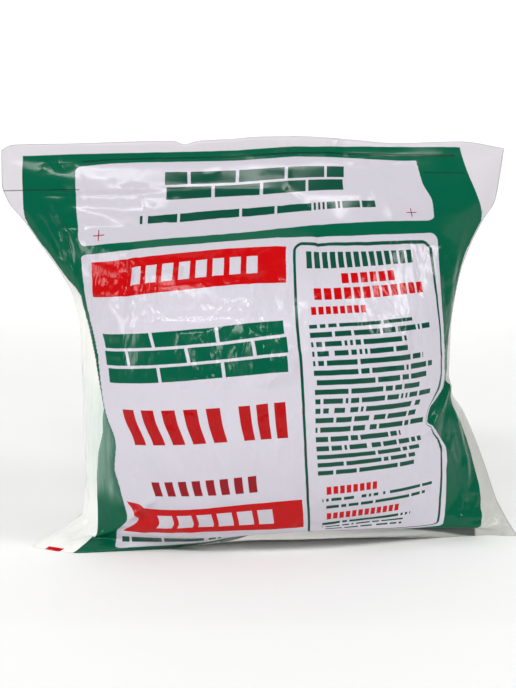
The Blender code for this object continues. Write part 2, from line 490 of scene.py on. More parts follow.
class PrintPlace:
    """Where each point of the film lies on the flat print, in mm: p from the panels' left edge, and q up."""

    # each upright line of the print as (height, x) on the filled sack
    uprights: tuple[tuple[float, tuple[tuple[float, float], ...]], ...] = (
        (
            -31,
            (
                *((0, -112), (2, -108), (5, -102), (9, -98), (17.5, -97.8), (35, -98.3), (57, -97.2)),
                *((73, -94.2), (85, -94.4), (100, -97.0), (118, -100.9), (136, -106.0), (144, -109)),
                *((151, -113.6), (158, -119), (165, -124), (175, -131.5), (184.5, -138), (194, -142.5)),
                *((229, -142), (241, -142)),
            ),
        ),
        (
            0,
            (
                *((1, -87.5), (6, -87), (12, -86.2), (21.4, -79.4), (28, -81), (50.5, -87), (66, -85.6)),
                *((83.5, -92.3), (118, -99.1), (136, -104.3), (152, -107.4), (168, -108.7)),
                *((179, -109.2), (220, -111)),
            ),
        ),
        (119, ((20, 26.2), (51.5, 24.2), (115, 20.7), (139, 18.4), (172, 17.4), (186, 18.4), (220, 20))),
        (
            196,
            (
                *((14, 98), (37, 99.7), (55, 99.8), (68, 96.3), (76, 94.2), (85, 96.2), (93, 98.5)),
                *((103, 99.6), (123, 98.9), (146, 96), (178, 91.4), (213, 83.5)),
            ),
        ),
        (
            201.5,
            (
                *((14, 103.7), (37, 105.2), (55, 105.0), (63, 102.4), (69, 98.0), (76, 94.9), (83, 96.4)),
                *((88, 99.6), (95, 103.6), (103, 105.1), (123, 104.4), (146, 101.5), (178, 96.9), (213, 89)),
            ),
        ),
        (
            206,
            (
                *((11, 107.5), (31, 108.9), (54, 107.6), (63, 104.6), (69, 99.8), (76, 95.6), (83, 97.2)),
                *((88, 102.6), (94, 108.2), (109, 107.9), (127, 106.9), (157, 104.3), (184.5, 102)),
                *((191, 100.1), (202, 98.6)),
                *((213, 93.2), (225, 89.8)),
            ),
        ),
        (
            234,
            (
                *((0, 132.7), (21, 132.3), (45, 127.3), (67, 120.2), (82.5, 111.7), (91, 110.4)),
                *((110, 109.6), (125, 111.0), (136, 113.8), (147, 116.5), (161, 119.5), (175, 124)),
                *((185, 128.5),),
                *((192, 131.0), (208, 125.3), (221, 119.6), (234, 115.5)),
            ),
        ),
    )
    # each level line of the print as (x, height) on the filled sack
    levels: tuple[tuple[float, tuple[tuple[float, float], ...]], ...] = (
        (0, ((-89, -3.0), (-75, -2.0), (-44, 1.0), (-19, 7.6), (21, 12.6), (93, 7.8), (133, 3.9))),
        (7, ((-89, 2.2), (-75, 2.6), (-44, 4.2), (-19, 9.4), (21, 13.3), (93, 10.5), (133, 10.4))),
        (13, ((-89, 4.6), (-75, 5.0), (-44, 6.2), (-19, 10.8), (21, 14.2), (93, 12.2), (133, 15))),
        (20, ((-89, 9.0), (-75, 9.4), (-44, 10.0), (-19, 12.6), (21, 15.2), (93, 15.0), (133, 19.5))),
        (31, ((-78, 12.6), (-14, 16.5), (23, 17.5), (77, 20.5), (100, 22.0))),
        (
            53,
            (
                *((-79, 33.0), (-73, 32.6), (-69, 31.6), (-65, 30.2), (-61, 30.1), (-6, 35), (22, 36.9)),
                *((29, 37.2), (100, 40)),
            ),
        ),
        (61, ((-62, 37.9), (-3, 41.7), (28, 45.3), (92, 47))),
        (66, ((-62, 42.4), (-3, 47.2), (28, 50.5), (92, 51.5))),
        (72, ((-62, 47.8), (-3, 53.4), (27, 56.4), (90, 57.2))),
        (80.8, ((-75, 58), (14, 63.9), (26, 65), (88, 65))),
        (89, ((-79, 67), (16, 73.8), (26, 74), (90, 73.7))),
        (105.5, ((-82, 83), (14, 90.5), (25, 92.2), (92, 91.3))),
        (115.5, ((-87, 93.4), (12, 101.9), (25, 102.9), (101, 101.9))),
        (125.4, ((-92, 102.7), (11, 113), (25, 113.6), (101, 113.6))),
        (145.2, ((-95, 120.6), (13, 132.6), (23, 134), (97, 135.9))),
        (154.5, ((-96, 129.1), (14, 140.4), (24, 141), (97, 142.7))),
        (166.5, ((-99, 139.7), (12, 150), (25, 149.8), (97, 151.4))),
        (176.5, ((-100, 148.5), (12.5, 159), (25, 158.4), (95, 159.9))),
        (186, ((-100, 156.1), (12, 166.2), (22, 166), (93, 168))),
        (201, ((-102, 168), (11.5, 177.5), (22, 177), (97, 176.4))),
        (206.5, ((-109, 171.8), (-48, 177.7), (22, 182.5), (102, 184.5))),
        (213, ((-106, 176.7), (-2, 185.4), (39, 189.3), (98, 191.3))),
        (263.5, ((-108, 222.9), (-88, 224.9), (-20, 226.4), (22, 228.8), (83, 226.2))),
        (269.5, ((-142, 229.2), (-112, 230.3), (-20, 232.4), (22, 234.8), (115, 234.4))),
    )
    fold_at_top = (-43.0, 261.0)  # p of the tube's two side folds, at the mouth
    slant = 15.0  # how far the print leans across the tube from mouth to foot
    back_starts = 1000.0  # p of the back print's left edge, well clear of the front's
    back_fold = -47.0  # p of the back's own left fold, less that
    tube_width = 300.0  # flat, mm
    back_rise = 1.175  # of q to a mm of height on the back
    back_foot = -2.0  # q at the back's foot
    full_height = 240.0  # over which the print's slant dies away, mm

    def front(self, sheet: Array) -> Array:
        """The print on the front sheet.

        Along each row, p runs evenly between the upright lines that it crosses; at each x, q runs evenly
        between the level lines.

        Args:
            sheet: the front's grid of points, mm.

        Returns:
            (p, q) at each of them.
        """
        x, z = sheet[..., 0], sheet[..., 2]
        lengths = self.lengths(sheet)
        p = np.empty_like(x)
        for row in range(len(x)):
            height = np.asarray([z[row].mean()])
            lean = self.slant * (1 - height[0] / self.full_height)
            lines = [float(smooth_between(height, *zip(*line))[0]) for _, line in self.uprights]
            at = np.interp(lines, x[row], lengths[row])
            knots = np.maximum.accumulate(np.concatenate([[0], at, [lengths[row, -1]]]))
            knots = knots + np.arange(len(knots)) * 1e-3
            values = [self.fold_at_top[0] - lean, *(p for p, _ in self.uprights), self.fold_at_top[1] - lean]
            p[row] = np.interp(lengths[row], knots, values)
        heights = np.stack([smooth_between(x, *zip(*line)) for _, line in self.levels])
        qs = np.array([q for q, _ in self.levels])
        under = np.clip((z[None] >= heights).sum(axis=0) - 1, 0, len(qs) - 2)
        low = np.take_along_axis(heights, under[None], axis=0)[0]
        high = np.take_along_axis(heights, under[None] + 1, axis=0)[0]
        q = qs[under] + (z - low) / (high - low) * (qs[under + 1] - qs[under])
        return np.stack([p, q], axis=2)

    def back(self, sheet: Array) -> Array:
        """The print on the back sheet, which runs the other way across.

        Args:
            sheet: the back's grid of points, mm.

        Returns:
            (p, q) at each of them.
        """
        lengths = self.lengths(sheet)
        p = self.back_starts + self.back_fold + self.tube_width * (1 - lengths / lengths[:, -1:])
        return np.stack([p, sheet[..., 2] * self.back_rise + self.back_foot], axis=2)

    @staticmethod
    def lengths(sheet: Array) -> Array:
        """How far along its row each point lies, mm."""
        steps = np.linalg.norm(np.diff(sheet, axis=1), axis=2)
        return np.concatenate([np.zeros((len(sheet), 1)), np.cumsum(steps, axis=1)], axis=1)


# Meshes


def outward(sheet: Array, side: Side) -> Array:
    """Unit normals of a grid.

    Args:
        sheet: its points.
        side: the sheet that it is.

    Returns:
        Normals that point out of the sack.
    """
    normal = np.cross(np.gradient(sheet, axis=1), np.gradient(sheet, axis=0))
    normal /= np.maximum(np.linalg.norm(normal, axis=2, keepdims=True), 1e-9)
    return normal if side is Side.FRONT else -normal


class Envelope:
    """A closed surface from a front and a back grid that share their side folds, with a floor patch below.

    The back grid has half the front's columns. The two meet in one row at the top, and the floor patch joins
    their lowest rows.
    """

    floor_rows = 10
    off_print = -900.0  # p and q of the points that have no print

    def __init__(self, front: Array, back: Array) -> None:
        """Numbers the points, each shared one once.

        Args:
            front: (rows, columns + 1, 3) points in mm.
            back: (rows, columns / 2 + 1, 3) points in mm.
        """
        rows, columns = front.shape[0], front.shape[1] - 1
        half = columns // 2
        self.front_ids = np.arange(rows * (columns + 1)).reshape(rows, columns + 1)
        self.back_ids = np.full((rows, half + 1), -1)
        self.back_ids[:, 0], self.back_ids[:, -1] = self.front_ids[:, 0], self.front_ids[:, -1]
        self.back_ids[-1] = self.front_ids[-1, ::2]
        free = self.back_ids < 0
        self.back_ids[free] = rows * (columns + 1) + np.arange(free.sum())
        share = (np.arange(1, self.floor_rows) / self.floor_rows)[:, None, None]
        floor = front[0, 2:-2:2][None] * (1 - share) + back[0, 1:-1][None] * share
        self.floor_ids = np.tile(self.back_ids[0], (self.floor_rows - 1, 1))
        first = self.back_ids.max() + 1
        self.floor_ids[:, 1:-1] = first + np.arange(floor[..., 0].size).reshape(-1, half - 1)
        self.points = np.concatenate([front.reshape(-1, 3), back[free], floor.reshape(-1, 3)])

    @staticmethod
    def quads(ids: Array, turned: bool) -> Array:
        """A grid's faces, wound the other way if `turned`."""
        faces = np.stack([ids[:-1, :-1], ids[:-1, 1:], ids[1:, 1:], ids[1:, :-1]], axis=2).reshape(-1, 4)
        return faces[:, ::-1] if turned else faces

    def mesh(
        self, name: str, front_map: Array | None = None, back_map: Array | None = None
    ) -> bpy.types.Mesh:
        """Makes the mesh, in metres.

        Args:
            name: the mesh's name.
            front_map: (p, q) at each point of the front grid, if it has a print.
            back_map: the same for the back grid.

        Returns:
            The mesh, shaded smooth.
        """
        front = self.quads(self.front_ids, False)
        back = self.quads(self.back_ids[:-1], True)
        under, row = self.back_ids[-2], self.front_ids[-1]
        seam = np.stack([under[1:], under[:-1], row[:-2:2], row[1:-1:2], row[2::2]], axis=1).tolist()
        # the first is cut in two, so that its triangles share no diagonal with the front sheet's
        seam = [seam[0][:3], [seam[0][0], *seam[0][2:]], *seam[1:]]
        weld = self.front_ids[0]
        floor = np.concatenate([self.floor_ids, self.back_ids[:1]])
        foot = np.stack([floor[0, :-1], floor[0, 1:], weld[2::2], weld[1:-1:2], weld[:-2:2]], axis=1)
        ground = self.quads(floor, True)
        # the floor's end faces close on one point, which they name once
        under_faces = [list(dict.fromkeys(face)) for face in [*foot.tolist(), *ground.tolist()]]
        mesh = bpy.data.meshes.new(name)
        faces = [*front.tolist(), *back.tolist(), *seam, *under_faces]
        mesh.from_pydata((self.points * MM).tolist(), [], faces)
        mesh.shade_smooth()
        if front_map is not None:
            self.lay_print(mesh, front_map, back_map, len(front))
        mesh.validate()
        return mesh

    def lay_print(self, mesh: bpy.types.Mesh, front_map: Array, back_map: Array, front_faces: int) -> None:
        """Writes the print map: the front's faces read the front's (p, q), and all others the back's.

        Args:
            mesh: gets the map.
            front_map: (p, q) at each point of the front grid.
            back_map: the same for the back grid.
            front_faces: how many of the mesh's first faces are the front's.
        """
        corners = np.zeros(len(mesh.loops), np.int32)
        mesh.loops.foreach_get("vertex_index", corners)
        on_front = np.full((len(self.points), 2), self.off_print)
        on_back = on_front.copy()
        on_front[self.front_ids.ravel()] = front_map.reshape(-1, 2)
        on_back[self.back_ids.ravel()] = back_map.reshape(-1, 2)
        of_front = np.arange(len(corners)) < front_faces * 4
        values = np.where(of_front[:, None], on_front[corners], on_back[corners])
        layer = mesh.uv_layers.new(name=PRINT_MAP)
        layer.data.foreach_set("uv", values.astype(np.float32).ravel())


def between(at: Array, count: int) -> Array:
    """The weights that read a smooth (Catmull-Rom) curve at places between evenly numbered points.

    Args:
        at: the places, counted in points from 0.
        count: how many points there are.

    Returns:
        (places, count) weights.
    """
    first = np.clip(np.floor(at).astype(int), 0, count - 2)
    t = np.clip(at - first, 0, 1)
    four = (
        -0.5 * t + t**2 - 0.5 * t**3,
        1 - 2.5 * t**2 + 1.5 * t**3,
        0.5 * t + 2 * t**2 - 1.5 * t**3,
        -0.5 * t**2 + 0.5 * t**3,
    )
    weights = np.zeros((len(at), count))
    for k, share in enumerate(four):
        np.add.at(weights, (np.arange(len(at)), np.clip(first + k - 1, 0, count - 1)), share)
    return weights


@dataclass(frozen=True)
class SlackFilm:
    """Blender's cloth on a coarse copy of the film, to find how the slack tube settles over the powder.

    The cloth's rest shape is the lay-flat tube, so the width that the filled sack doesn't need gathers into
    soft folds. Its mouth and its foot are held.
    """

    columns: int = 84
    rows: int = 88
    low: float = 10.0
    flat_width: float = 300.0
    frames: int = 30
    pressure: float = 2.0
    most: float = 6.0  # the furthest that a point may move, mm
    held_at_mouth: float = 6.0  # mm of the flat tube
    held_at_foot: float = 2.0  # mm of it
    unpressed: float = 55.0  # mm of it below the mouth, where no powder presses
    pressure_fade: float = 20.0  # below that, mm

    def moves(self, form: Form, heights: Array, columns: int) -> tuple[Array, Array]:
        """How far each point of the fine film moves.

        Args:
            form: the sack's form.
            heights: the fine film's rows, mm.
            columns: the fine front's columns; its back has half of them.

        Returns:
            The front's and the back's moves, in mm.
        """
        rows = form.even_heights(self.rows, self.low, form.corner_height)
        front, back = (form.sheet(rows, side, self.columns) for side in Side)
        steps = np.linalg.norm(np.diff(front[:, self.columns // 2], axis=0), axis=1)
        down = np.concatenate([[0], np.cumsum(steps)])
        ids = np.arange(front[..., 0].size).reshape(front.shape[:2])
        back_ids = ids.copy()
        back_ids[:-1, 1:-1] = ids.size + np.arange(back_ids[:-1, 1:-1].size).reshape(len(rows) - 1, -1)
        start = np.concatenate([front.reshape(-1, 3), back[:-1, 1:-1].reshape(-1, 3)])
        across = np.linspace(-self.flat_width / 2, self.flat_width / 2, self.columns + 1)
        flat = np.stack(np.broadcast_arrays(across, -0.5, down[:, None]), axis=2)
        flat_back = flat[:-1, 1:-1] + np.array([0, 1.0, 0])
        rest = np.concatenate([flat.reshape(-1, 3), flat_back.reshape(-1, 3)])
        faces = np.concatenate([Envelope.quads(ids, False), Envelope.quads(back_ids, True)])
        change = self.settle(start, rest, faces, down[-1]) - start
        rows_at = between(np.interp(heights, rows, np.arange(len(rows))), len(rows))
        found = []
        for places, count in ((ids, columns), (back_ids, columns // 2)):
            move = change[places]
            size = np.linalg.norm(move, axis=2, keepdims=True)
            move = move * (self.most * np.tanh(size / self.most) / np.maximum(size, 1e-6))
            columns_at = between(np.linspace(0, self.columns, count + 1), self.columns + 1)
            found.append(np.einsum("ij,jkc,lk->ilc", rows_at, move, columns_at))
        log.info("slack film: moves up to %.1f mm", np.abs(found[0]).max())
        return found[0], found[1]

    def settle(self, start: Array, rest: Array, faces: Array, length: float) -> Array:
        """Runs the cloth.

        Args:
            start: its points in place, mm.
            rest: the same points on the flat tube, mm.
            faces: quads.
            length: the flat tube's length, mm.

        Returns:
            The settled points, mm.
        """
        mesh = bpy.data.meshes.new("slack_film")
        mesh.from_pydata((start * MM).tolist(), [], faces.tolist())
        film = bpy.data.objects.new("slack_film", mesh)
        bpy.context.scene.collection.objects.link(film)
        film.shape_key_add(name="Basis")
        key = film.shape_key_add(name="flat")
        key.data.foreach_set("co", (rest * MM).astype(np.float32).ravel())
        key.value = 0.0
        held = film.vertex_groups.new(name="held")
        at_ends = (rest[:, 2] > length - self.held_at_mouth) | (rest[:, 2] < self.held_at_foot)
        held.add(np.nonzero(at_ends)[0].tolist(), 1.0, "REPLACE")
        pressed = film.vertex_groups.new(name="pressed")
        for share in (0.25, 0.5, 0.75, 1.0):
            reached = rest[:, 2] < length - self.unpressed - self.pressure_fade * (share - 0.25)
            pressed.add(np.nonzero(reached)[0].tolist(), share, "REPLACE")
        cloth = film.modifiers.new("cloth", "CLOTH")
        cloth.point_cache.frame_start, cloth.point_cache.frame_end = 1, self.frames
        settings = cloth.settings
        settings.quality, settings.mass = 6, 0.0002
        settings.tension_stiffness = settings.compression_stiffness = 40
        settings.shear_stiffness, settings.bending_stiffness = 15, 0.02
        settings.tension_damping = settings.compression_damping = settings.shear_damping = 5
        settings.bending_damping, settings.air_damping = 0.5, 2
        settings.use_pressure, settings.uniform_pressure_force = True, self.pressure
        settings.vertex_group_pressure, settings.vertex_group_mass = "pressed", "held"
        settings.rest_shape_key = key
        settings.effector_weights.gravity = 0
        cloth.collision_settings.use_collision = False
        cloth.collision_settings.use_self_collision = False
        for step in range(1, self.frames + 1):
            bpy.context.scene.frame_set(step)
        done = film.evaluated_get(bpy.context.evaluated_depsgraph_get()).to_mesh()
        points = np.zeros(len(done.vertices) * 3, np.float32)
        done.vertices.foreach_get("co", points)
        bpy.data.objects.remove(film)
        bpy.data.meshes.remove(mesh)
        bpy.context.scene.frame_set(1)
        return points.reshape(-1, 3).astype(float) / MM


def add_object(mesh: bpy.types.Mesh, material: bpy.types.Material) -> bpy.types.Object:
    """Links a mesh into the scene under its own name.

    Args:
        mesh: the piece's mesh.
        material: its one material.

    Returns:
        The piece.
    """
    mesh.materials.append(material)
    made = bpy.data.objects.new(mesh.name, mesh)
    bpy.context.scene.collection.objects.link(made)
    return made


# Finishes


SMOOTH = {"interpolation_type": "SMOOTHSTEP"}  # every fade is an S-curve


class Shader:
    """One material and its node tree."""

    def __init__(self, name: str) -> None:
        """Args: name: the material's name."""
        self.material = bpy.data.materials.new(name)
        self.material.use_nodes = True
        self.tree = self.material.node_tree
        self.surface = self.tree.nodes["Principled BSDF"]

    def wire(self, sockets: Any, values: dict[Any, Any]) -> None:
        """Gives input sockets their values or links.

        Args:
            sockets: a node's inputs.
            values: what each gets, by name or number: a value, or another node's output.
        """
        for key, value in values.items():
            if isinstance(value, Socket):
                self.tree.links.new(value, sockets[key])
            else:
                sockets[key].default_value = value

    def add(self, kind: str, values: Any, out: int | str = 0, **settings: Any) -> Socket:
        """Adds a node, with its settings, its socket values and the links into it.

        Args:
            kind: the node's type, less the ShaderNode that it starts with.
            values: what its inputs get, in order or by name: a value, or another node's output.
            out: which of its outputs is wanted.
            settings: the node's own properties.

        Returns:
            That output.
        """
        node = self.tree.nodes.new("ShaderNode" + kind)
        for name, value in settings.items():
            setattr(node, name, value)
        self.wire(node.inputs, values if isinstance(values, dict) else dict(enumerate(values)))
        return node.outputs[out]

    def reckon(self, number: Any, *steps: tuple[Any, ...]) -> Any:
        """Works a number out step by step, as in reckon(p, ("SUBTRACT", 2), ("ABSOLUTE",)).

        Args:
            number: what it starts from, a number or an output.
            steps: the name of each sum, and the other numbers or outputs that it takes.

        Returns:
            The last step's output.
        """
        for operation, *others in steps:
            number = self.add("Math", (number, *others), operation=operation)
        return number

    def coat(self, **values: Any) -> bpy.types.Material:
        """Sets the surface's sockets and gives the finished material.

        Args:
            values: each socket's value or link, with underscores for the blanks in its name.

        Returns:
            The material.
        """
        self.wire(self.surface.inputs, {name.replace("_", " "): value for name, value in values.items()})
        return self.material


class Print:
    """Draws the sack's generic print over (p, q) in mm, as masks from 0 to 1."""

    soft = 0.14  # half the ink's edge, mm
    wander = 0.5  # how far the ink's edges wander, mm
    mortar = 0.9  # half the gap between two bricks, mm
    dash_cell = 1.45  # the cells that a row of dashes is cut into, mm
    blank_share = 0.15  # of those cells
    row_end_cell = -7.0  # a cell off the print, whose chance number says where its row ends
    cross_line = 0.6  # the register crosses' line, mm
    off_middle = (("FRACT",), ("SUBTRACT", 0.5), ("ABSOLUTE",))  # from the middle of a cell, in cells

    def __init__(self, shader: Shader, place: Socket) -> None:
        """Reads the print map, with a slight wander.

        Args:
            shader: the material it draws in.
            place: the point on the object, in metres.
        """
        self.shader = shader
        uv = shader.add("UVMap", (), uv_map=PRINT_MAP)
        wobble = shader.add("TexNoise", {"Vector": place, "Scale": 90.0, "Detail": 1.0})
        shift = shader.reckon(wobble, ("MULTIPLY_ADD", self.wander, -self.wander / 2))
        self.p, self.q = (
            shader.reckon(shader.add("SeparateXYZ", (uv,), out=axis), ("ADD", shift)) for axis in ("X", "Y")
        )
        starts = PrintPlace.back_starts
        moved = shader.reckon(self.p, ("GREATER_THAN", starts / 2), ("MULTIPLY", starts))
        self.any_p = shader.reckon(self.p, ("SUBTRACT", moved))

    def box(
        self, left: float, right: float, low: float, high: float, radius: float = 0.0, both: bool = False
    ) -> Socket:
        """Signed distance to a box, below nought inside.

        Along each axis it is the distance from the box's middle less its half size, and past a rounded
        corner the length of both together.

        Args:
            left, right: its sides in p.
            low, high: its foot and top in q.
            radius: its corners'.
            both: whether the back has it too.

        Returns:
            The distance, in mm.
        """
        s = self.shader
        dx, dy = (
            s.reckon(along, ("SUBTRACT", (a + b) / 2), ("ABSOLUTE",), ("SUBTRACT", (b - a) / 2 - radius))
            for along, a, b in ((self.any_p if both else self.p, left, right), (self.q, low, high))
        )
        larger = s.reckon(dx, ("MAXIMUM", dy))
        if radius == 0:
            return larger
        out_x, out_y = (s.reckon(d, ("MAXIMUM", 0.0)) for d in (dx, dy))
        squares = s.reckon(out_x, ("MULTIPLY", out_x), ("ADD", s.reckon(out_y, ("MULTIPLY", out_y))))
        inner = s.reckon(larger, ("MINIMUM", 0.0))
        return s.reckon(squares, ("SQRT",), ("ADD", inner), ("SUBTRACT", radius))

    def patch(self, distance: Socket, inner: float, outer: float, most: float = 1.0) -> Socket:
        """`most` where the distance is below `inner`, fading to nothing at `outer`."""
        return self.shader.add("MapRange", (distance, inner, outer, most, 0.0), **SMOOTH)

    def ink(self, distance: Socket) -> Socket:
        """1 inside a shape, 0 outside."""
        return self.patch(distance, -self.soft, self.soft)

    def line(self, distance: Socket, width: float) -> Socket:
        """A line along a shape's edge."""
        return self.ink(self.shader.reckon(distance, ("ABSOLUTE",), ("SUBTRACT", width / 2)))

    def overlap(self, first: Socket, *others: Socket) -> Socket:
        """Where all the masks are."""
        return self.shader.reckon(first, *(("MULTIPLY", other) for other in others))

    def either(self, first: Socket, *others: Socket) -> Socket:
        """Where any of the masks is."""
        return self.shader.reckon(first, *(("MAXIMUM", other) for other in others))

    def without(self, mask: Socket, hole: Socket) -> Socket:
        """A mask with another cut out of it."""
        return self.overlap(mask, self.shader.reckon(1.0, ("SUBTRACT", hole)))

    def blocks(self, left: float, right: float, low: float, high: float, count: int, share: float) -> Socket:
        """A row of upright blocks.

        Args:
            left, right, low, high: the box that they fill, in p and q.
            count: how many.
            share: how much of its pitch a block fills.

        Returns:
            Their mask.
        """
        pitch = (right - left) / count
        across = self.shader.reckon(self.p, ("SUBTRACT", left), ("DIVIDE", pitch), *self.off_middle)
        bar = self.shader.reckon(across, ("SUBTRACT", share / 2), ("MULTIPLY", pitch))
        return self.overlap(self.ink(bar), self.ink(self.box(left, right, low, high)))

    def courses(self, left: float, right: float, low: float, high: float, rows: int, long: float) -> Socket:
        """A bond of bricks, each course half a brick on from the next.

        Args:
            left, right, low, high: the box that they fill, in p and q.
            rows: how many courses.
            long: a brick's length, mm.

        Returns:
            Their mask.
        """
        s = self.shader
        tall = (high - low) / rows
        row = s.reckon(self.q, ("SUBTRACT", low), ("DIVIDE", tall))
        half = s.reckon(row, ("FLOOR",), ("FLOORED_MODULO", 2.0), ("MULTIPLY", 0.5))
        across = s.reckon(self.p, ("SUBTRACT", left), ("DIVIDE", long), ("ADD", half))
        dx, dy = (
            s.reckon(at, *self.off_middle, ("MULTIPLY", size), ("SUBTRACT", size / 2 - self.mortar))
            for at, size in ((across, long), (row, tall))
        )
        bricks = self.ink(s.reckon(dx, ("MAXIMUM", dy)))
        return self.overlap(bricks, self.ink(self.box(left, right, low, high)))

    def dashes(
        self,
        left: float,
        right: float,
        top: float,
        rows: int,
        pitch: float,
        tall: float,
        ragged: float,
        seed: float,
    ) -> Socket:
        """Rows of short bars of chance lengths, whose right ends are ragged.

        A row is cut into cells; a cell is left out by chance, and all past the row's own end are.

        Args:
            left, right, top: the sides and top of the box that they fill, in p and q.
            rows: how many rows.
            pitch: from row to row, mm.
            tall: a bar's height, mm.
            ragged: how far from the right side the shortest row ends, mm.
            seed: picks the lengths.

        Returns:
            Their mask.
        """
        s = self.shader
        down = s.reckon(top, ("SUBTRACT", self.q), ("DIVIDE", pitch))
        row = s.reckon(down, ("FLOOR",))
        bar = self.ink(s.reckon(down, *self.off_middle, ("MULTIPLY", pitch), ("SUBTRACT", tall / 2)))
        cell = s.reckon(self.p, ("DIVIDE", self.dash_cell), ("FLOOR",))
        chance, end = (
            s.add("TexWhiteNoise", (s.add("CombineXYZ", (at, row, seed)),))
            for at in (cell, self.row_end_cell)
        )
        end = s.reckon(right, ("SUBTRACT", s.reckon(end, ("MULTIPLY", ragged))))
        before_end = s.reckon(self.p, ("LESS_THAN", end))
        kept = s.reckon(chance, ("GREATER_THAN", self.blank_share), ("MULTIPLY", before_end))
        return self.overlap(bar, kept, self.ink(self.box(left, right, top - rows * pitch, top)))

    def ribbon(self, left: float, right: float, low: float, high: float, notch: float) -> Socket:
        """A band whose left end is cut in a swallow-tail.

        Args:
            left, right, low, high: the band's box, in p and q.
            notch: the cut's depth, mm.

        Returns:
            Its mask.
        """
        s = self.shader
        slope = notch / ((high - low) / 2)
        off = s.reckon(self.q, ("SUBTRACT", (low + high) / 2), ("ABSOLUTE",), ("MULTIPLY", slope))
        cut = s.reckon(left + notch, ("SUBTRACT", off), ("SUBTRACT", self.p))
        return self.ink(s.reckon(self.box(left, right, low, high), ("MAXIMUM", cut)))

    def cross(self, p: float, q: float, size: float) -> Socket:
        """A small register cross.

        Args:
            p, q: its middle, mm.
            size: its arms' length from end to end, mm.

        Returns:
            Its mask.
        """
        half, thin = size / 2, self.cross_line / 2
        arms = ((p - thin, p + thin, q - half, q + half), (p - half, p + half, q - thin, q + thin))
        return self.either(*(self.ink(self.box(*arm)) for arm in arms))


